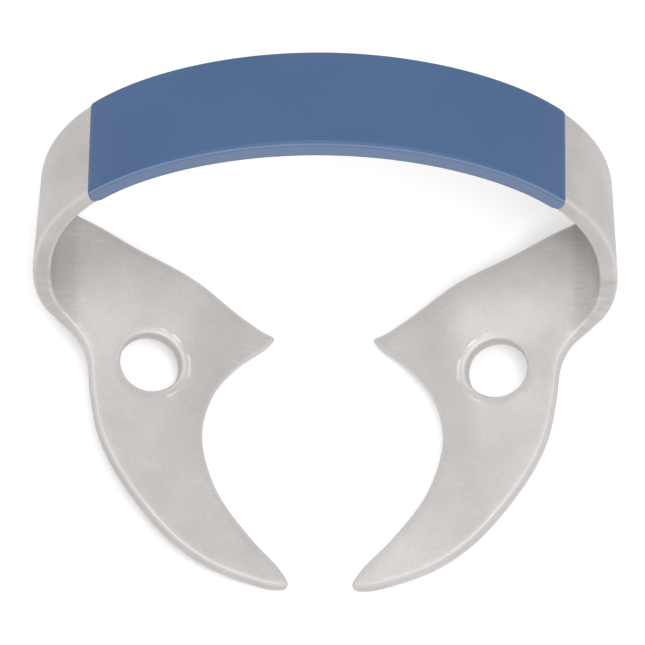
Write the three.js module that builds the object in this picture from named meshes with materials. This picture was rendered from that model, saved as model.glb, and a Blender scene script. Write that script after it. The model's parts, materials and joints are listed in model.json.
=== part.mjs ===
// Wingless molar clamp for a dental rubber dam, in millimetres.
// One strip of spring steel is bent into an arched bow and two jaws. A colour coat marks the bow.
// X runs from jaw to jaw, +Y towards the back of the mouth, and +Z up, away from the gum.
import * as THREE from 'three';
import { TessellateModifier } from 'three/addons/modifiers/TessellateModifier.js';

// ---- Driving dimensions ----
const SPAN = 27.0; // outside width over the bow's two sides
const STRIP = 0.85; // thickness of the spring steel
const BOW_RISE = 7.8; // height of the bow's front edge at the crown above the foot of its side
const BOW_LEAN = 3.4; // how far that edge leans back on the way up
const CROWN_WIDTH = 5.8; // width of the strip at the crown
const CROWN_TILT = 24; // degrees by which the crown slopes down towards the back
const FOOT_WIDTH = 4.5; // width of the strip at the foot of the bow's side
const REAR_INSET = 0.3; // how much nearer the middle the side's rear edge stands
const BEND_RADIUS = 1.6; // inside radius of the bend between bow and jaw
const JAW_SLOPE = 10; // degrees by which a jaw slopes down towards the tooth
const REAR_PRONG_DROP = 20; // further degrees just beyond the crease, on the rear prong
const FRONT_PRONG_DROP = 8; // and on the front prong
const CREASE_SOFTNESS = 0.8; // half width of the rounded crease
const PRONG_FLATTENING = 3; // distance over which the further slope fades away again
const HOLE_RADIUS = 1.4; // forceps hole
const SHOULDER = 0.1; // how much fuller than an ellipse the bow's shoulders are
const FLEX_ANGLE = 32; // degrees of the arch, from the crown to where the bow is taken to flex
const COAT = 0.05; // thickness of the colour coat
const COAT_ANGLE = 53.5; // degrees of the arch, from the crown to the end of the coat
const COAT_CLEARANCE = 0.02; // between the coat and the steel under it
const SPLIT_GAP = 0.3; // between two lengths of steel that meet end to end
const FACET = 1.3; // longest edge of a facet on a jaw
const ARCH_STEP = 4; // degrees of the arch in one facet
const ACROSS_STEPS = 6; // facets over the width of the strip

const STEEL = { color: 0xc6c1bf, roughness: 0.45, metalness: 0.85 };
const BLUE = { color: 0x546e94, roughness: 0.5, metalness: 0.1 };

// ---- Worked-out places ----
const rad = THREE.MathUtils.degToRad;
const HALF = (SPAN - STRIP) / 2; // middle of the steel on the bow's side
const BEND_MID = BEND_RADIUS + STRIP / 2;
const BEND_TURN = rad(90 - JAW_SLOPE);
const BEND_LENGTH = BEND_MID * BEND_TURN;
const BEND_START_X = HALF - BEND_MID * (1 - Math.sin(rad(JAW_SLOPE)));
const BEND_START_Z = -BEND_MID * Math.cos(rad(JAW_SLOPE));
const REAR_LEAN = BOW_LEAN + CROWN_WIDTH * Math.cos(rad(CROWN_TILT)) - FOOT_WIDTH;
const REAR_RISE = BOW_RISE - CROWN_WIDTH * Math.sin(rad(CROWN_TILT));

// A jaw's outline on the flat blank. The first number is the distance outwards from the start of the
// bend, and the second is the distance backwards from the front edge of the bow's foot.
const HOLE_CENTRE = [-3.35, -3.5];
const OUTER_EDGE = [
  [1.7, -1.0],
  [0.8, -1.6],
  [0, -2.35],
  [-0.5, -3.4],
  [-0.7, -5.2],
  [-1.15, -7.2],
  [-2.3, -9.35],
  [-4.2, -11.6],
  [-6.3, -13.0],
  [-8.8, -13.75],
];
const FRONT_TIP = [-9.95, -13.75];
const INNER_EDGE = [
  [-9.4, -12.9],
  [-7.9, -11.35],
  [-6.45, -9.35],
  [-5.75, -6.9],
  [-6.2, -4.75],
  [-7.4, -3.15],
  [-8.8, -1.95],
];
const REAR_TIP = [-9.1, -1.55];
const REAR_EDGE = [
  [-8.4, -1.3],
  [-6.9, -0.4],
  [-5.0, 0.9],
  [-2.6, 2.05],
  [-0.4, 3.2],
];
const CREASE_POINT = [-4.7, -5.0];
const CREASE_DIRECTION = new THREE.Vector2(0.24, -0.97).normalize();
const DROP_CHANGE = [-4.5, -10.5]; // the prong drop changes between these two places

// ---- How the flat blank is formed ----
// The foot of the bow's side, at its front edge and in the middle of the steel, is y = 0 and z = 0.
function bowPoint(angle, across) {
  const sideways = Math.sin(angle) * (1 + SHOULDER * (Math.sin(angle) * Math.cos(angle)) ** 2);
  const front = new THREE.Vector3(
    HALF * sideways,
    BOW_LEAN * Math.cos(angle),
    BOW_RISE * Math.cos(angle),
  );
  const rear = new THREE.Vector3(
    (HALF - REAR_INSET) * sideways,
    FOOT_WIDTH + REAR_LEAN * Math.cos(angle),
    REAR_RISE * Math.cos(angle),
  );
  return front.lerp(rear, across);
}

// Nothing before the crease, a straight slope after it, and a smooth curve between the two.
function pastCrease(distance) {
  if (distance < -CREASE_SOFTNESS) return 0;
  if (distance > CREASE_SOFTNESS) return distance;
  return (distance + CREASE_SOFTNESS) ** 2 / (4 * CREASE_SOFTNESS);
}

function prongDrop(out, back) {
  const [creaseOut, creaseBack] = CREASE_POINT;
  const side = CREASE_DIRECTION.y * (out - creaseOut) - CREASE_DIRECTION.x * (back - creaseBack);
  const frontShare = 1 - THREE.MathUtils.smoothstep(back, DROP_CHANGE[1], DROP_CHANGE[0]);
  const slope = THREE.MathUtils.lerp(REAR_PRONG_DROP, FRONT_PRONG_DROP, frontShare);
  const fading = 1 - Math.exp(-pastCrease(side) / PRONG_FLATTENING);
  return Math.tan(rad(slope)) * PRONG_FLATTENING * fading;
}

function jawPoint(out, back) {
  if (out <= 0) {
    const fall = -out * Math.tan(rad(JAW_SLOPE)) + prongDrop(out, back);
    return new THREE.Vector3(BEND_START_X + out, back, BEND_START_Z - fall);
  }
  const turned = Math.min(out, BEND_LENGTH) / BEND_MID;
  const heading = rad(JAW_SLOPE) + turned;
  const inset = REAR_INSET * (back / FOOT_WIDTH) * (turned / BEND_TURN) ** 2;
  return new THREE.Vector3(
    HALF - BEND_MID * (1 - Math.sin(heading)) - inset,
    back,
    -BEND_MID * Math.cos(heading) + Math.max(0, out - BEND_LENGTH),
  );
}

// The point at a height off the middle of the sheet, square to it. Positive is the sheet's left side
// as u and v turn anticlockwise.
function offSheet(sheet, u, v, height) {
  const step = 1e-3;
  const alongU = sheet(u + step, v).sub(sheet(u - step, v));
  const alongV = sheet(u, v + step).sub(sheet(u, v - step));
  const normal = alongU.cross(alongV).normalize();
  return sheet(u, v).addScaledVector(normal, height);
}

// Moves every corner of a blank by a rule from its flat place to its formed place.
function form(blank, place) {
  const position = blank.getAttribute('position');
  for (let i = 0; i < position.count; i += 1) {
    const formed = place(position.getX(i), position.getY(i), position.getZ(i));
    position.setXYZ(i, formed.x, formed.y, formed.z);
  }
  blank.deleteAttribute('uv');
  blank.computeVertexNormals();
  return blank;
}

// The same solid on the other side of the middle, with its faces still pointing out.
function mirrored(geometry) {
  const copy = geometry.index ? geometry.toNonIndexed() : geometry.clone();
  const position = copy.getAttribute('position');
  for (let i = 0; i < position.count; i += 3) {
    const first = new THREE.Vector3().fromBufferAttribute(position, i);
    const last = new THREE.Vector3().fromBufferAttribute(position, i + 2);
    position.setXYZ(i, last.x, last.y, last.z);
    position.setXYZ(i + 2, first.x, first.y, first.z);
  }
  copy.scale(-1, 1, 1);
  copy.computeVertexNormals();
  return copy;
}

// ---- Pieces ----
// Steel and coat are divided at the same angles of the arch, so that their facets lie parallel.
function stations(from, to) {
  const marks = [from, to, rad(COAT_ANGLE)];
  for (let angle = -90; angle <= 90; angle += ARCH_STEP) marks.push(rad(angle));
  return [...new Set(marks.filter((mark) => mark >= from && mark <= to))].sort((a, b) => a - b);
}

// The places between the two edges of the strip where its wide faces are divided. The strip twists
// along the bow, and narrow facets keep the coat clear of the steel.
function acrossPoints(height) {
  const counts = Array.from({ length: ACROSS_STEPS - 1 }, (_, index) => index + 1);
  return counts.map((count) => new THREE.Vector2(count / ACROSS_STEPS, height));
}

// Carries a flat section along the bow. The section's x is the share of the way across the strip, and
// its y is the height off the middle of the steel.
function alongBow(section, from, to) {
  const angles = stations(from, to);
  const steps = angles.length - 1;
  const blank = new THREE.ExtrudeGeometry(new THREE.Shape(section), {
    depth: steps,
    steps,
    bevelEnabled: false,
  });
  return form(blank, (across, height, station) => (
    stripPoint(across, height, angles[Math.round(station)])
  ));
}

// A length of the bow's strip between two angles of the arch.
function stripLength(from, to) {
  const section = [
    new THREE.Vector2(0, -STRIP / 2),
    ...acrossPoints(-STRIP / 2),
    new THREE.Vector2(1, -STRIP / 2),
    new THREE.Vector2(1, STRIP / 2),
    ...acrossPoints(STRIP / 2).reverse(),
    new THREE.Vector2(0, STRIP / 2),
  ];
  return alongBow(section, from, to);
}

// The coat on that length: a channel over the outer face and both edges.
function coatLength(from, to) {
  const inner = STRIP / 2 + COAT_CLEARANCE;
  const outer = inner + COAT;
  const lip = STRIP / 2;
  const channel = [
    new THREE.Vector2(-COAT_CLEARANCE - COAT, -lip),
    new THREE.Vector2(-COAT_CLEARANCE, -lip),
    new THREE.Vector2(-COAT_CLEARANCE, inner),
    ...acrossPoints(inner),
    new THREE.Vector2(1 + COAT_CLEARANCE, inner),
    new THREE.Vector2(1 + COAT_CLEARANCE, -lip),
    new THREE.Vector2(1 + COAT_CLEARANCE + COAT, -lip),
    new THREE.Vector2(1 + COAT_CLEARANCE + COAT, outer),
    ...acrossPoints(outer).reverse(),
    new THREE.Vector2(-COAT_CLEARANCE - COAT, outer),
  ];
  return alongBow(channel, from, to);
}

// Beyond an edge of the strip, the distance across is a length and no longer a share of the width.
function stripPoint(across, height, angle) {
  const edge = THREE.MathUtils.clamp(across, 0, 1);
  const ruling = bowPoint(angle, 1).sub(bowPoint(angle, 0)).normalize();
  return offSheet(bowPoint, angle, edge, height).addScaledVector(ruling, across - edge);
}

function jawBlank() {
  const neckEnd = BEND_LENGTH - SPLIT_GAP;
  const outer = new THREE.SplineCurve([
    new THREE.Vector2(neckEnd, 0),
    ...OUTER_EDGE.map(([out, back]) => new THREE.Vector2(out, back)),
    new THREE.Vector2(...FRONT_TIP),
  ]);
  const inner = new THREE.SplineCurve(
    [FRONT_TIP, ...INNER_EDGE, REAR_TIP].map((point) => new THREE.Vector2(...point)),
  );
  const rear = new THREE.SplineCurve([
    new THREE.Vector2(...REAR_TIP),
    ...REAR_EDGE.map((point) => new THREE.Vector2(...point)),
    new THREE.Vector2(neckEnd, FOOT_WIDTH),
  ]);
  const shape = new THREE.Shape([
    ...outer.getSpacedPoints(24).slice(0, -1),
    ...inner.getSpacedPoints(18).slice(0, -1),
    ...rear.getSpacedPoints(14),
  ].reverse());
  const hole = new THREE.Path();
  hole.absarc(HOLE_CENTRE[0], HOLE_CENTRE[1], HOLE_RADIUS, 0, 2 * Math.PI, true);
  shape.holes.push(hole);
  return shape;
}

function jaw() {
  const blank = new THREE.ExtrudeGeometry(jawBlank(), {
    depth: STRIP,
    curveSegments: 14,
    bevelEnabled: false,
  });
  blank.translate(0, 0, -STRIP / 2);
  const facets = new TessellateModifier(FACET, 12).modify(blank);
  return form(facets, (out, back, height) => offSheet(jawPoint, out, back, height));
}

// ---- Assembly ----
const group = new THREE.Group();

function add(name, geometry, look) {
  const mesh = new THREE.Mesh(geometry, new THREE.MeshStandardMaterial(look));
  mesh.name = name;
  group.add(mesh);
}

const endGap = SPLIT_GAP / 2 / HALF;
const crownEnd = rad(FLEX_ANGLE) - endGap;
const sideStart = rad(FLEX_ANGLE) + endGap;
const sideEnd = Math.PI / 2;

add('bow_crown', stripLength(-crownEnd, crownEnd), STEEL);
add('crown_color_coat', coatLength(-crownEnd, crownEnd), BLUE);

const bowSide = stripLength(sideStart, sideEnd);
const sideCoat = coatLength(sideStart, rad(COAT_ANGLE));
const rightJaw = jaw();
add('right_bow_side', bowSide, STEEL);
add('right_color_coat', sideCoat, BLUE);
add('right_jaw', rightJaw, STEEL);
add('left_bow_side', mirrored(bowSide), STEEL);
add('left_color_coat', mirrored(sideCoat), BLUE);
add('left_jaw', mirrored(rightJaw), STEEL);

// The origin is under the middle of the clamp, at the level of its lowest point.
const box = new THREE.Box3().setFromObject(group);
group.position.y = -(box.min.y + box.max.y) / 2;
group.position.z = -box.min.z;
group.updateMatrixWorld(true);

export default group;
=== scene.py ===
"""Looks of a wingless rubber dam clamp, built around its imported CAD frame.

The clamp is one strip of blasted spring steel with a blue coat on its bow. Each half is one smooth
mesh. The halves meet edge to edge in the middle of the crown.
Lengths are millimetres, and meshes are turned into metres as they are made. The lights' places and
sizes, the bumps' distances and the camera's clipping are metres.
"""

import json
import math

import bmesh
import bpy
import numpy as np
from mathutils import Matrix, Vector
from mathutils.geometry import delaunay_2d_cdt


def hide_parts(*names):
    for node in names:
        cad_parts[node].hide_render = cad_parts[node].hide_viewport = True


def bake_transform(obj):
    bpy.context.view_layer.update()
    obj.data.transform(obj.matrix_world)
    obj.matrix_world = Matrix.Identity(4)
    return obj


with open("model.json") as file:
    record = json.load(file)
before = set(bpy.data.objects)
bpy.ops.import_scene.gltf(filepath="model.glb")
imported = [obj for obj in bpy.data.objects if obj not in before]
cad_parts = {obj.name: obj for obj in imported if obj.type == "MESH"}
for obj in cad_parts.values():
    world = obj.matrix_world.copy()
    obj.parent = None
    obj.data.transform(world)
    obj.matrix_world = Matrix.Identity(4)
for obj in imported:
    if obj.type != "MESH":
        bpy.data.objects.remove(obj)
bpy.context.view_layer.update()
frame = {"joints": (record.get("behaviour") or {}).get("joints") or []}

# ---- Sizes that the CAD model was made with ----
SPAN = 27.0
STRIP = 0.85
SHOULDER = 0.1
BOW_RISE = 7.8
BOW_LEAN = 3.4
CROWN_WIDTH = 5.8
CROWN_TILT = math.radians(24)
FOOT_WIDTH = 4.5
REAR_INSET = 0.3
BEND_RADIUS = 1.6
JAW_SLOPE = math.radians(10)
REAR_PRONG_DROP = math.radians(20)
FRONT_PRONG_DROP = math.radians(8)
CREASE_SOFTNESS = 0.8
PRONG_FLATTENING = 3.0
HOLE_RADIUS = 1.4
FLEX_ANGLE = math.radians(32)

HALF = (SPAN - STRIP) / 2
BEND_MID = BEND_RADIUS + STRIP / 2
BEND_TURN = math.pi / 2 - JAW_SLOPE
BEND_LENGTH = BEND_MID * BEND_TURN
BEND_START_X = HALF - BEND_MID * (1 - math.sin(JAW_SLOPE))
BEND_START_Z = -BEND_MID * math.cos(JAW_SLOPE)
REAR_LEAN = BOW_LEAN + CROWN_WIDTH * math.cos(CROWN_TILT) - FOOT_WIDTH
REAR_RISE = BOW_RISE - CROWN_WIDTH * math.sin(CROWN_TILT)

# A jaw's outline on the flat blank: outwards from the bend's start, and backwards from the front
# edge of the foot of the bow's side.
HOLE_CENTRE = (-3.35, -3.5)
OUTER_EDGE = [
    (1.7, -1.0), (0.8, -1.6), (0, -2.35), (-0.5, -3.4), (-0.7, -5.2),
    (-1.15, -7.2), (-2.3, -9.35), (-4.2, -11.6), (-6.3, -13.0), (-8.8, -13.75),
]
FRONT_TIP = (-9.95, -13.75)
INNER_EDGE = [
    (-9.4, -12.9), (-7.9, -11.35), (-6.45, -9.35), (-5.75, -6.9),
    (-6.2, -4.75), (-7.4, -3.15), (-8.8, -1.95),
]
REAR_TIP = (-9.1, -1.55)
REAR_EDGE = [(-8.4, -1.3), (-6.9, -0.4), (-5.0, 0.9), (-2.6, 2.05), (-0.4, 3.2)]
CREASE_POINT = (-4.7, -5.0)
CREASE_DIRECTION = (0.24, -0.97)
DROP_CHANGE = (-4.5, -10.5)

# ---- Sizes of the looks ----
ARCH_LENGTH = 17.6  # of the blank's strip from the foot of the bow to the middle of the crown
RIM_STEP = 0.16  # between points along an edge
GRID_STEP = 0.3  # between points inside the sheet
EDGE_ROUND = 0.13  # radius on the steel's edges
EDGE_SEGMENTS = 4
TIP_SOFTNESS = 0.16  # how far the prongs' tips are rounded
COAT_INSIDE = 0.015  # gap between the steel and the coat
COAT_OUTSIDE = 0.055  # from the steel to the coat's outer face
COAT_END_X = 10.86  # the coat ends square to X
COAT_CORNER = 0.5  # radius of the coat's end on the strip's front edge face
COAT_FEATHER = 0.12  # length over which the coat thins out at its end
COAT_THINNEST = 0.12  # share of its thickness left at that end
COAT_LIP = 0.04  # bare steel left at the inner side of each edge face
RING_OFFSET = 0.34  # from a hole's edge to the ring that the punch left

MM = 0.001


# ---- The formed sheet, in the middle of the steel ----
def smoothstep(value):
    t = np.clip(value, 0, 1)
    return t * t * (3 - 2 * t)


def sideways(angle):
    return np.sin(angle) * (1 + SHOULDER * (np.sin(angle) * np.cos(angle)) ** 2)


def bow_point(angle, across):
    """A point of the bow, from the crown at angle 0, and from the front edge at across 0."""
    rear_share = np.asarray(across, float)
    x = (HALF - REAR_INSET * rear_share) * sideways(angle)
    y = FOOT_WIDTH * rear_share + (BOW_LEAN + (REAR_LEAN - BOW_LEAN) * rear_share) * np.cos(angle)
    z = (BOW_RISE + (REAR_RISE - BOW_RISE) * rear_share) * np.cos(angle)
    return np.stack(np.broadcast_arrays(x, y, z), -1)


def prong_drop(out, back):
    length = math.hypot(*CREASE_DIRECTION)
    along_x, along_y = CREASE_DIRECTION[0] / length, CREASE_DIRECTION[1] / length
    side = along_y * (out - CREASE_POINT[0]) - along_x * (back - CREASE_POINT[1])
    soft = (side + CREASE_SOFTNESS) ** 2 / (4 * CREASE_SOFTNESS)
    past = np.where(side < -CREASE_SOFTNESS, 0, np.where(side > CREASE_SOFTNESS, side, soft))
    rear_share = smoothstep((back - DROP_CHANGE[1]) / (DROP_CHANGE[0] - DROP_CHANGE[1]))
    slope = FRONT_PRONG_DROP + (REAR_PRONG_DROP - FRONT_PRONG_DROP) * rear_share
    return np.tan(slope) * PRONG_FLATTENING * (1 - np.exp(-past / PRONG_FLATTENING))


def jaw_point(out, back):
    """A point of the jaw or of the bend above it, from its place on the flat blank."""
    plate_z = BEND_START_Z + out * math.tan(JAW_SLOPE) - prong_drop(out, back)
    turned = np.clip(out, 0, BEND_LENGTH) / BEND_MID
    heading = JAW_SLOPE + turned
    inset = REAR_INSET * (back / FOOT_WIDTH) * (turned / BEND_TURN) ** 2
    bend_x = HALF - BEND_MID * (1 - np.sin(heading)) - inset
    bend_z = -BEND_MID * np.cos(heading)
    x = np.where(out <= 0, BEND_START_X + out, bend_x)
    z = np.where(out <= 0, plate_z, bend_z)
    return np.stack(np.broadcast_arrays(x, back, z), -1)


def sheet_point(out, back):
    """A point of the whole half clamp. Past the bend, the blank's strip is the bow."""
    out, back = np.asarray(out, float), np.asarray(back, float)
    angle = math.pi / 2 * (1 - (out - BEND_LENGTH) / ARCH_LENGTH)
    on_bow = (out > BEND_LENGTH)[..., None]
    return np.where(on_bow, bow_point(angle, back / FOOT_WIDTH), jaw_point(out, back))


def off_sheet(sheet, u, v, height):
    """The points at a height off the middle of a sheet, square to it."""
    step = 1e-3
    along_u = sheet(u + step, v) - sheet(u - step, v)
    along_v = sheet(u, v + step) - sheet(u, v - step)
    normal = np.cross(along_u, along_v)
    normal /= np.linalg.norm(normal, axis=-1, keepdims=True)
    return sheet(u, v) + normal * np.asarray(height, float)[..., None]


# ---- The outline of half a clamp on the blank ----
def spline(points, step=0.02):
    """A uniform Catmull-Rom curve through the points, as a dense polyline."""
    p = np.array([points[0], *points, points[-1]], float)
    pieces = []
    for a, b, c, d in zip(p[:-3], p[1:-2], p[2:-1], p[3:]):
        count = max(4, int(np.linalg.norm(c - b) / step))
        t = np.linspace(0, 1, count, endpoint=False)[:, None]
        slope_b, slope_c = (c - a) / 2, (d - b) / 2
        cubic = (2 * b - 2 * c + slope_b + slope_c) * t**3
        square = (-3 * b + 3 * c - 2 * slope_b - slope_c) * t**2
        pieces.append(cubic + square + slope_b * t + b)
    return np.vstack([*pieces, p[-1:]])


def evenly(line, step):
    """The same polyline with its points about a step apart."""
    along = np.r_[0, np.cumsum(np.linalg.norm(np.diff(line, axis=0), axis=1))]
    places = np.linspace(0, along[-1], int(round(along[-1] / step)) + 1)
    return np.stack([np.interp(places, along, line[:, k]) for k in range(2)], -1)


def softened(line, width, step=0.02):
    """The polyline with its corners rounded, by a moving average. Its ends stay."""
    dense = evenly(line, step)
    half = int(width / step)
    padded = np.vstack([
        2 * dense[0] - dense[half:0:-1],
        dense,
        2 * dense[-1] - dense[-2:-half - 2:-1],
    ])
    weights = np.hanning(2 * half + 3)[1:-1]
    weights /= weights.sum()
    return np.stack([np.convolve(padded[:, k], weights, "valid") for k in range(2)], -1)


def outline():
    """From the crown's front corner round the jaw and back to the crown's rear corner."""
    crown = BEND_LENGTH + ARCH_LENGTH
    front = [(BEND_LENGTH, 0), *OUTER_EDGE, FRONT_TIP]
    rear = [REAR_TIP, *REAR_EDGE, (BEND_LENGTH, FOOT_WIDTH)]
    line = np.vstack([
        [(crown, 0)],
        spline(front)[:-1],
        spline([FRONT_TIP, *INNER_EDGE, REAR_TIP])[:-1],
        spline(rear),
        [(crown, FOOT_WIDTH)],
    ])
    return evenly(softened(line, 2 * TIP_SOFTNESS), RIM_STEP)


def outward(line, closed):
    """The direction square to a polyline at each of its points, on its right side."""
    if closed:
        tangent = np.roll(line, -1, 0) - np.roll(line, 1, 0)
    else:
        tangent = np.gradient(line, axis=0)
    tangent /= np.linalg.norm(tangent, axis=1, keepdims=True)
    return np.stack([tangent[:, 1], -tangent[:, 0]], -1)


def edge_section():
    """The rounded edge of the sheet as (distance out from the outline, height), from top to bottom."""
    turn = np.linspace(0, math.pi / 2, EDGE_SEGMENTS + 1)
    out = EDGE_ROUND * (np.sin(turn) - 1)
    height = STRIP / 2 - EDGE_ROUND * (1 - np.cos(turn))
    return np.r_[out, out[::-1]], np.r_[height, -height[::-1]]


# ---- Mesh of the steel ----
def interior_points(line, hole):
    """An even grid inside the outline and outside the hole, clear of both."""
    low, high = line.min(0), line.max(0)
    xs = np.arange(low[0], high[0] - GRID_STEP / 2, GRID_STEP)
    ys = np.arange(low[1], high[1], GRID_STEP * math.sqrt(3) / 2)
    grid = np.array([
        (x + (row % 2) * GRID_STEP / 2, y) for row, y in enumerate(ys) for x in xs
    ])
    inside = np.zeros(len(grid), bool)
    for a, b in zip(line, np.roll(line, -1, 0)):
        crosses = (a[1] > grid[:, 1]) != (b[1] > grid[:, 1])
        rise = b[1] - a[1] if b[1] != a[1] else 1
        reach = a[0] + (grid[:, 1] - a[1]) / rise * (b[0] - a[0])
        inside ^= crosses & (grid[:, 0] < reach)
    grid = grid[inside]
    edge = np.vstack([line, hole])
    nearest = np.array([np.min(np.hypot(*(edge - p).T)) for p in grid])
    in_hole = np.hypot(*(grid - np.array(HOLE_CENTRE)).T) < HOLE_RADIUS + EDGE_ROUND
    return grid[(nearest > 0.6 * GRID_STEP) & ~in_hole]


def sheet_triangles(line, hole):
    """Triangles of the flat sheet. Its first points are the outline's, then the hole's."""
    seam_count = int(FOOT_WIDTH / GRID_STEP)
    seam = np.linspace(line[-1], line[0], seam_count + 2)[1:-1]
    grid = interior_points(np.vstack([line, seam]), hole)
    points = np.vstack([line, hole, seam, grid])
    n, m, k = len(line), len(hole), len(seam)
    border = [*range(n), *range(n + m, n + m + k)]
    ring = list(range(n, n + m))
    edges = list(zip(border, border[1:] + border[:1]))
    edges += list(zip(ring, ring[1:] + ring[:1]))
    found = delaunay_2d_cdt([Vector(p) for p in points], edges, [], 1, 1e-7)
    verts, faces = np.array([tuple(v) for v in found[0]]), found[2]
    if len(verts) != len(points) or np.abs(verts - points).max() > 1e-4:
        raise RuntimeError("the sheet's points were merged or moved")
    middles = np.array([verts[list(f)].mean(0) for f in faces])
    solid = np.hypot(*(middles - np.array(HOLE_CENTRE)).T) > HOLE_RADIUS + 0.5 * EDGE_ROUND
    return points, [tuple(f) for f, keep in zip(faces, solid) if keep]


def turned_up(points, faces):
    """The triangles, all turning anticlockwise."""
    made = []
    for a, b, c in faces:
        ab, ac = points[b] - points[a], points[c] - points[a]
        made.append((a, b, c) if ab[0] * ac[1] - ab[1] * ac[0] > 0 else (a, c, b))
    return made


def steel_mesh():
    """Points in the local frame, faces, and how near each point is to an edge, for half a clamp."""
    line = outline()
    turn = np.linspace(0, 2 * math.pi, 56, endpoint=False)
    ring = np.array(HOLE_CENTRE) + HOLE_RADIUS * np.stack([np.cos(turn), np.sin(turn)], -1)
    line_out, ring_out = outward(line, False), outward(ring, True)
    if np.dot(line_out[0], (0, -1)) < 0:
        line_out = -line_out
    ring_out = np.where(np.dot(ring_out[0], (1, 0)) > 0, -ring_out, ring_out)
    section_out, section_height = edge_section()
    inset_line = line + line_out * section_out[0]
    inset_ring = ring + ring_out * section_out[0]
    flat, faces = sheet_triangles(inset_line, inset_ring)
    faces = turned_up(flat, faces)
    count = len(flat)
    places = [np.c_[flat, np.full(count, STRIP / 2)], np.c_[flat, np.full(count, -STRIP / 2)]]
    made = list(faces) + [(c + count, b + count, a + count) for a, b, c in faces]
    total = 2 * count
    n, m = len(line), len(ring)
    rims = [(line, line_out, list(range(n)), False), (ring, ring_out, list(range(n, n + m)), True)]
    for edge, away, top, closed in rims:
        rows = [top]
        for out, height in zip(section_out[1:-1], section_height[1:-1]):
            places.append(np.c_[edge + away * out, np.full(len(edge), height)])
            rows.append(list(range(total, total + len(edge))))
            total += len(edge)
        rows.append([i + count for i in top])
        for upper, lower in zip(rows, rows[1:]):
            last = len(edge) if closed else len(edge) - 1
            for i in range(last):
                j = (i + 1) % len(edge)
                made.append((upper[i], lower[i], lower[j], upper[j]))
    blank = np.vstack(places)
    edge_all = np.vstack([line, ring])
    nearest = np.array([np.min(np.hypot(*(edge_all - p).T)) for p in blank[:, :2]])
    formed = off_sheet(sheet_point, blank[:, 0], blank[:, 1], blank[:, 2])
    return formed, made, nearest, blank


# ---- Mesh of the coat ----
def coat_section(offset):
    """The coat's channel as (distance back from the front edge's face, height, share of the width).

    The distance is real at both edges, and the share carries the flat stretch between them."""
    lip = COAT_LIP - STRIP / 2
    radius = EDGE_ROUND + offset
    side = np.linspace(lip, STRIP / 2 - EDGE_ROUND, 9)
    turn = np.linspace(0, math.pi / 2, 6)[1:]
    corner_in = EDGE_ROUND - radius * np.cos(turn)
    corner_up = STRIP / 2 - EDGE_ROUND + radius * np.sin(turn)
    flat = np.linspace(0, 1, 15)[1:-1]
    inwards = np.r_[np.full(len(side), -offset), corner_in]
    height = np.r_[side, corner_up]
    distance = np.r_[inwards, np.full(len(flat), EDGE_ROUND), inwards[::-1]]
    share = np.r_[np.zeros(len(height)), flat, np.ones(len(height))]
    heights = np.r_[height, np.full(len(flat), STRIP / 2 + offset), height[::-1]]
    return distance, share, heights


def coat_points(offset_rows, angles):
    """Rows of the coat's skin. Each row has its own offset off the steel."""
    rows = []
    for offset, angle_row in zip(offset_rows, angles):
        distance, share, height = coat_section(offset)
        width = np.linalg.norm(bow_point(angle_row, 1.0) - bow_point(angle_row, 0.0), axis=-1)
        inner = distance / width
        across = inner * (1 - share) + (1 - inner) * share
        rows.append(off_sheet(bow_point, angle_row, across, height))
    return np.array(rows)


def coat_end_angles():
    """Where the coat ends along each line of its section: square to X, with a round front corner."""
    _, share, height = coat_section(COAT_OUTSIDE)
    table = np.linspace(0, math.pi / 2, 400)
    ends = np.interp(COAT_END_X, (HALF + STRIP / 2) * sideways(table), table)
    x_at = (HALF - REAR_INSET * share + height * 0.5) * sideways(ends)
    ends = ends + (COAT_END_X - x_at) / (HALF * math.cos(ends))
    from_lip = height - height.min()
    on_front = (share == 0) & (from_lip < COAT_CORNER)
    below = COAT_CORNER - np.minimum(from_lip, COAT_CORNER)
    missing = COAT_CORNER - np.sqrt(COAT_CORNER**2 - below**2)
    return ends - np.where(on_front, missing, 0) / ARCH_LENGTH * math.pi / 2


def coat_mesh():
    """Points and faces of half the coat, a closed skin of its own thickness.

    The third result is how far each point lies down an edge face, from 0 at the outer face to 1."""
    ends = coat_end_angles()
    steps = np.r_[np.linspace(0, 0.97, 44), 0.985, 0.995, 1.0]
    angles = steps[:, None] * ends[None, :]
    from_end = (1 - steps) * ends.mean() * ARCH_LENGTH / (math.pi / 2)
    thinning = np.clip(from_end / COAT_FEATHER, COAT_THINNEST, 1)
    outside = coat_points(COAT_INSIDE + (COAT_OUTSIDE - COAT_INSIDE) * thinning, angles)
    inside = coat_points(np.full(len(steps), COAT_INSIDE), angles)
    rows, columns = outside.shape[:2]
    points = np.vstack([outside.reshape(-1, 3), inside.reshape(-1, 3)])
    shift = rows * columns
    faces = []
    for r in range(rows - 1):
        for c in range(columns - 1):
            a, b = r * columns + c, r * columns + c + 1
            d, e = a + columns, b + columns
            faces.append((a, b, e, d))
            faces.append((a + shift, d + shift, e + shift, b + shift))
    rim = [(0, c) for c in range(columns)] + [(r, columns - 1) for r in range(1, rows)]
    rim += [(rows - 1, c) for c in range(columns - 2, -1, -1)] + [(r, 0) for r in range(rows - 2, 0, -1)]
    ids = [r * columns + c for r, c in rim]
    for a, b in zip(ids, ids[1:] + ids[:1]):
        faces.append((b, a, a + shift, b + shift))
    heights = coat_section(COAT_OUTSIDE)[2]
    depth = np.clip((STRIP / 2 - heights) / STRIP, 0, 1)
    return points, faces, np.tile(depth, 2 * rows)


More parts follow.
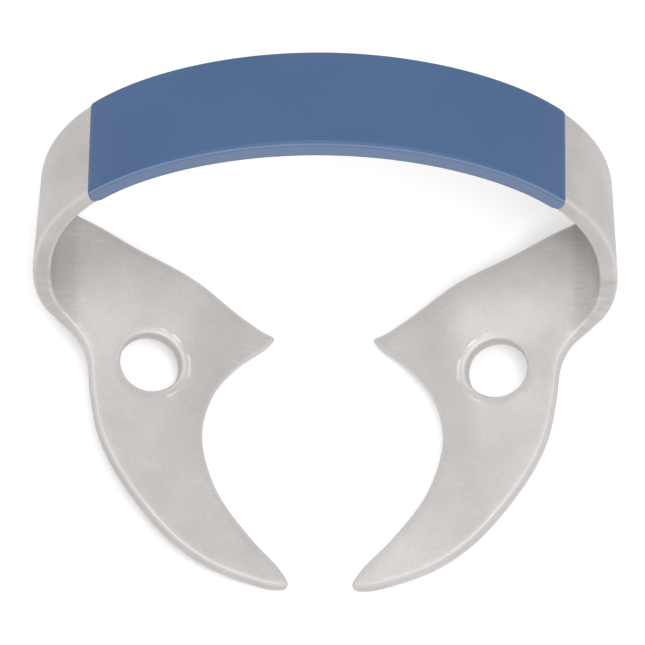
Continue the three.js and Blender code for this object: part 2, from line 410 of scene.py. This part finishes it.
# ---- From points to Blender objects ----
def make_piece(name, points, faces, side, material):
    """A mesh object in metres, in the row frame. Side is 1 for the right half and -1 for the left."""
    placed = points + local_origin
    placed = placed * (side, 1, 1) * MM
    mesh = bpy.data.meshes.new(name)
    mesh.from_pydata(placed.tolist(), [], faces)
    bm = bmesh.new()
    bm.from_mesh(mesh)
    open_edges = [e for e in bm.edges if len(e.link_faces) == 1]
    if open_edges:
        bmesh.ops.holes_fill(bm, edges=open_edges, sides=0)
    bmesh.ops.recalc_face_normals(bm, faces=bm.faces)
    middle = 1e-6
    for face in bm.faces:
        face.smooth = True
        if all(abs(v.co.x) < middle for v in face.verts):
            for edge in face.edges:
                if not all(all(abs(v.co.x) < middle for v in f.verts) for f in edge.link_faces):
                    edge.smooth = False
    bm.to_mesh(mesh)
    bm.free()
    mesh.materials.append(material)
    obj = bpy.data.objects.new(name, mesh)
    bpy.context.scene.collection.objects.link(obj)
    return obj


def add_attribute(obj, name, values):
    layer = obj.data.attributes.new(name, "FLOAT", "POINT")
    layer.data.foreach_set("value", np.asarray(values, np.float32))


def add_places(obj, name, places):
    layer = obj.data.attributes.new(name, "FLOAT_VECTOR", "POINT")
    layer.data.foreach_set("vector", np.asarray(places, np.float32).ravel())


def hinge_of(body):
    return next(j for j in frame["joints"] if j["child"] == body)


def bend_with(obj):
    """Bakes the piece's place into its mesh."""
    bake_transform(obj)


# ---- Materials ----
STEEL_DULL, STEEL_CLEAN = (0.470, 0.446, 0.437), (0.578, 0.552, 0.544)
STEEL_EDGE, STEEL_RUBBED = (0.60, 0.575, 0.565), (0.78, 0.76, 0.75)
STEEL_SCRATCH, STEEL_STRETCHED = (0.72, 0.70, 0.69), (0.40, 0.38, 0.37)
BLUE_DEEP, BLUE_FULL = (0.062, 0.118, 0.240), (0.070, 0.130, 0.260)
# Painted light on the coat: a lighter blue for the edge faces, and a pale blue for a highlight line along
# the rounded corners.
BLUE_LIT_EDGE, BLUE_HIGHLIGHT = (0.140, 0.195, 0.325), (0.30, 0.37, 0.50)


def new_material(name):
    material = bpy.data.materials.new(name)
    material.use_nodes = True
    nodes, links = material.node_tree.nodes, material.node_tree.links
    return material, nodes, links, nodes["Principled BSDF"]


def noise(nodes, links, coordinates, scale, detail, roughness=0.5):
    node = nodes.new("ShaderNodeTexNoise")
    node.inputs["Scale"].default_value = scale
    node.inputs["Detail"].default_value = detail
    node.inputs["Roughness"].default_value = roughness
    links.new(coordinates, node.inputs["Vector"])
    return node.outputs["Fac"]


def ramp(nodes, links, source, stops):
    node = nodes.new("ShaderNodeValToRGB")
    elements = node.color_ramp.elements
    for element, (place, colour) in zip(elements, stops):
        element.position = place
        element.color = (*colour, 1)
    for place, colour in stops[2:]:
        elements.new(place).color = (*colour, 1)
    links.new(source, node.inputs["Fac"])
    return node.outputs["Color"]


def span(nodes, links, source, low, high, to_low, to_high):
    node = nodes.new("ShaderNodeMapRange")
    node.clamp = True
    values = {"From Min": low, "From Max": high, "To Min": to_low, "To Max": to_high}
    for socket, value in values.items():
        node.inputs[socket].default_value = value
    links.new(source, node.inputs["Value"])
    return node.outputs["Result"]


def mixed(nodes, links, factor, first, second, blend="MIX"):
    node = nodes.new("ShaderNodeMix")
    node.data_type = "RGBA"
    node.blend_type = blend
    for socket, value in ((0, factor), (6, first), (7, second)):
        if isinstance(value, bpy.types.NodeSocket):
            links.new(value, node.inputs[socket])
        elif socket == 0:
            node.inputs[socket].default_value = value
        else:
            node.inputs[socket].default_value = (*value, 1)
    return node.outputs[2]


def bump(nodes, links, heights):
    """A chain of bumps from (height socket, strength, distance in metres)."""
    normal = None
    for height, strength, distance in heights:
        node = nodes.new("ShaderNodeBump")
        node.inputs["Strength"].default_value = strength
        node.inputs["Distance"].default_value = distance
        links.new(height, node.inputs["Height"])
        if normal is not None:
            links.new(normal, node.inputs["Normal"])
        normal = node.outputs["Normal"]
    return normal


def attribute(nodes, name):
    node = nodes.new("ShaderNodeAttribute")
    node.attribute_name = name
    return node.outputs["Fac"]


def blank_place(nodes, scale=(1, 1, 1)):
    """The place on the flat blank in millimetres, so that marks follow the bent sheet."""
    source = nodes.new("ShaderNodeAttribute")
    source.attribute_name = "blank_place"
    scaled = nodes.new("ShaderNodeVectorMath")
    scaled.operation = "MULTIPLY"
    scaled.inputs[1].default_value = scale
    nodes.id_data.links.new(source.outputs["Vector"], scaled.inputs[0])
    return scaled.outputs["Vector"]


def blank_axis(nodes, links, axis):
    parts = nodes.new("ShaderNodeSeparateXYZ")
    links.new(blank_place(nodes), parts.inputs[0])
    return parts.outputs[axis]


def hole_distance(nodes, links):
    node = nodes.new("ShaderNodeVectorMath")
    node.operation = "DISTANCE"
    node.inputs[1].default_value = (*HOLE_CENTRE, 0)
    links.new(blank_place(nodes, (1, 1, 0)), node.inputs[0])
    return node.outputs["Value"]


def product(nodes, links, first, second):
    node = nodes.new("ShaderNodeMath")
    node.operation = "MULTIPLY"
    for socket, value in zip(node.inputs, (first, second)):
        if isinstance(value, bpy.types.NodeSocket):
            links.new(value, socket)
        else:
            socket.default_value = value
    return node.outputs["Value"]


def corner(nodes, links):
    """1 near either face of the sheet and 0 in the middle of its thickness."""
    height = nodes.new("ShaderNodeMath")
    height.operation = "ABSOLUTE"
    links.new(blank_axis(nodes, links, "Z"), height.inputs[0])
    return span(nodes, links, height.outputs["Value"], 0.22, 0.36, 0, 1)


def hole_ring(nodes, links):
    """The faint ring that the punch left round the hole, broken up and only on the tooth's side."""
    distance = hole_distance(nodes, links)
    crest = HOLE_RADIUS + RING_OFFSET
    rising = span(nodes, links, distance, crest - 0.08, crest, 0, 1)
    falling = span(nodes, links, distance, crest, crest + 0.14, 1, 0)
    out = blank_axis(nodes, links, "X")
    tooth_side = span(nodes, links, out, HOLE_CENTRE[0] - 0.9, HOLE_CENTRE[0], 1, 0)
    broken = span(nodes, links, noise(nodes, links, blank_place(nodes), 1.6, 2), 0.42, 0.58, 0, 1)
    ring = product(nodes, links, product(nodes, links, rising, falling), tooth_side)
    return product(nodes, links, ring, broken)


def bend_lines(nodes, links):
    """Fine stretch lines over the bend between jaw and bow."""
    out = blank_axis(nodes, links, "X")
    inner = span(nodes, links, out, -1.0, 0.4, 0, 1)
    outer = span(nodes, links, out, BEND_LENGTH, BEND_LENGTH + 2.5, 1, 0)
    lines = noise(nodes, links, blank_place(nodes, (0.5, 6.0, 0.5)), 1.0, 3, 0.65)
    return product(nodes, links, product(nodes, links, inner, outer), lines)


def steel_material():
    """Blasted spring steel: fine grain, faint clouds, worn edges, scratches and marks of forming."""
    material, nodes, links, shader = new_material("spring_steel")
    place = nodes.new("ShaderNodeTexCoord").outputs["Object"]
    clouds = noise(nodes, links, place, 260, 4)
    grain = noise(nodes, links, place, 9000, 3, 0.6)
    grit = noise(nodes, links, place, 3200, 2, 0.6)
    tint = ramp(nodes, links, clouds, [(0.3, STEEL_DULL), (0.7, STEEL_CLEAN)])
    speckle = ramp(nodes, links, grain, [(0.3, (0.90, 0.90, 0.90)), (0.7, (1.0, 1.0, 1.0))])
    body = mixed(nodes, links, 1.0, tint, speckle, "MULTIPLY")
    edge = span(nodes, links, attribute(nodes, "edge_distance"), 0.02, 0.22, 1, 0)
    rim = product(nodes, links, edge, corner(nodes, links))
    worn = mixed(nodes, links, rim, body, STEEL_EDGE)
    ring = hole_ring(nodes, links)
    rub_mark_and_highlight = mixed(nodes, links, product(nodes, links, ring, 0.5), worn, STEEL_RUBBED)
    fine = noise(nodes, links, blank_place(nodes, (0.35, 7.0, 0.35)), 1.0, 4, 0.7)
    scratches = span(nodes, links, fine, 0.62, 0.70, 0, 0.3)
    scratched = mixed(nodes, links, scratches, rub_mark_and_highlight, STEEL_SCRATCH)
    lines = bend_lines(nodes, links)
    darkening = span(nodes, links, lines, 0.38, 0.68, 0, 0.5)
    links.new(mixed(nodes, links, darkening, scratched, STEEL_STRETCHED), shader.inputs["Base Color"])
    links.new(span(nodes, links, clouds, 0.3, 0.7, 0.58, 0.50), shader.inputs["Roughness"])
    reliefs = [
        (grit, 0.25, 0.00002),
        (grain, 0.35, 0.00001),
        (lines, 0.5, 0.00005),
        (ring, 0.5, 0.00004),
    ]
    links.new(bump(nodes, links, reliefs), shader.inputs["Normal"])
    shader.inputs["Metallic"].default_value = 0.3
    return material


def coat_material():
    """Semi-matt blue coat, uneven in tone, with a fine orange peel, its edge faces coloured lighter as
    painted light, and a painted highlight line along its rounded corners.
    """
    material, nodes, links, shader = new_material("blue_coat")
    place = nodes.new("ShaderNodeTexCoord").outputs["Object"]
    clouds = noise(nodes, links, place, 180, 3)
    peel = noise(nodes, links, place, 2500, 2)
    dust = noise(nodes, links, place, 8000, 2)
    tone = ramp(nodes, links, clouds, [(0.3, BLUE_DEEP), (0.7, BLUE_FULL)])
    fleck = ramp(nodes, links, dust, [(0.35, (0.95, 0.95, 0.95)), (0.65, (1.0, 1.0, 1.0))])
    flat = mixed(nodes, links, 1.0, tone, fleck, "MULTIPLY")
    depth = attribute(nodes, "edge_depth")
    # Painted light: the strip's edge faces are coloured a lighter blue from just below the rounded corners
    # down to the lip.
    lit_edge = span(nodes, links, depth, 0.12, 0.34, 0, 1)
    edged = mixed(nodes, links, lit_edge, flat, BLUE_LIT_EDGE)
    # Painted highlight: a narrow pale line along the coat's rounded corners, where the outer face turns
    # into the edge faces.
    highlight_rise = span(nodes, links, depth, 0.03, 0.10, 0, 0.45)
    rub_mark_and_highlight = product(nodes, links, highlight_rise, span(nodes, links, depth, 0.14, 0.22, 1, 0))
    links.new(mixed(nodes, links, rub_mark_and_highlight, edged, BLUE_HIGHLIGHT), shader.inputs["Base Color"])
    links.new(span(nodes, links, peel, 0.3, 0.7, 0.42, 0.5), shader.inputs["Roughness"])
    links.new(bump(nodes, links, [(peel, 0.12, 0.00002), (dust, 0.1, 0.00001)]), shader.inputs["Normal"])
    shader.inputs["Specular IOR Level"].default_value = 0.25
    return material


def floor_material():
    material, nodes, links, shader = new_material("studio_floor")
    place = nodes.new("ShaderNodeTexCoord").outputs["Object"]
    paper = noise(nodes, links, place, 60, 2)
    white = ramp(nodes, links, paper, [(0.3, (0.86, 0.86, 0.86)), (0.7, (0.88, 0.88, 0.88))])
    links.new(white, shader.inputs["Base Color"])
    shader.inputs["Emission Color"].default_value = (1, 1, 1, 1)
    shader.inputs["Emission Strength"].default_value = 0.25
    shader.inputs["Roughness"].default_value = 0.9
    shader.inputs["Specular IOR Level"].default_value = 0.1
    return material


# ---- Scene ----
CAMERA_ELEVATION = math.radians(70)
CAMERA_ROLL = math.radians(0.95)
CAMERA_AIM = (-0.09, 0.286, 4.524)
VIEW_WIDTH = 29.72  # of the plane through the aim that fills the frame
LENS = 800.0
SENSOR = 36.0
SKY_STRENGTH = 0.5
# Each light's place in metres, the size of its disc in metres, and its power in watts.
LIGHTS = {
    "key_light": ((-0.045, 0.06, 0.34), 0.2, 0.36),
    "front_light": ((0.10, -0.24, 0.66), 0.3, 2.5),
}


def add_camera():
    data = bpy.data.cameras.new("camera")
    data.lens, data.sensor_width = LENS, SENSOR
    data.clip_start, data.clip_end = 0.01, 10
    camera = bpy.data.objects.new("camera", data)
    back = Vector((0, -math.cos(CAMERA_ELEVATION), math.sin(CAMERA_ELEVATION)))
    camera.location = Vector(CAMERA_AIM) * MM + back * (VIEW_WIDTH * LENS / SENSOR * MM)
    camera.rotation_mode = "QUATERNION"
    aim = (-back).to_track_quat("-Z", "Y").to_matrix().to_4x4()
    camera.rotation_quaternion = (aim @ Matrix.Rotation(CAMERA_ROLL, 4, "Z")).to_quaternion()
    bpy.context.scene.collection.objects.link(camera)
    bpy.context.scene.camera = camera


def add_area_light(name, place, size, power):
    """A round light that points at the origin."""
    data = bpy.data.lights.new(name, "AREA")
    data.shape, data.size, data.energy = "DISK", size, power
    light = bpy.data.objects.new(name, data)
    light.location = place
    light.rotation_mode = "QUATERNION"
    light.rotation_quaternion = (-Vector(place)).to_track_quat("-Z", "Y")
    bpy.context.scene.collection.objects.link(light)


def add_studio():
    bpy.ops.mesh.primitive_plane_add(size=2.0, location=(0, 0, 0))
    floor = bpy.context.object
    floor.name = "studio_floor"
    floor.data.materials.append(floor_material())
    world = bpy.data.worlds.new("studio")
    world.use_nodes = True
    world.node_tree.nodes["Background"].inputs["Color"].default_value = (1, 1, 1, 1)
    world.node_tree.nodes["Background"].inputs["Strength"].default_value = SKY_STRENGTH
    scene = bpy.context.scene
    scene.world = world
    scene.view_settings.view_transform = "Standard"
    scene.view_settings.look = "None"
    for name, (place, size, power) in LIGHTS.items():
        add_area_light(name, place, size, power)


local_origin = np.array(hinge_of("right_side")["pos_m"]) / MM - bow_point(FLEX_ANGLE, 0.5)
steel, coat = steel_material(), coat_material()
steel_points, steel_faces, edge_distance, blank_places = steel_mesh()
coat_skin, coat_faces, edge_depth = coat_mesh()
for side, hand in ((1, "right"), (-1, "left")):
    half = make_piece(f"{hand}_clamp_half", steel_points, steel_faces, side, steel)
    add_attribute(half, "edge_distance", edge_distance)
    add_places(half, "blank_place", blank_places)
    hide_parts("bow_crown", f"{hand}_bow_side", f"{hand}_jaw")
    bend_with(half)
    cover = make_piece(f"{hand}_coat_half", coat_skin, coat_faces, side, coat)
    add_attribute(cover, "edge_depth", edge_depth)
    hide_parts("crown_color_coat", f"{hand}_color_coat")
    bend_with(cover)
add_camera()
add_studio()
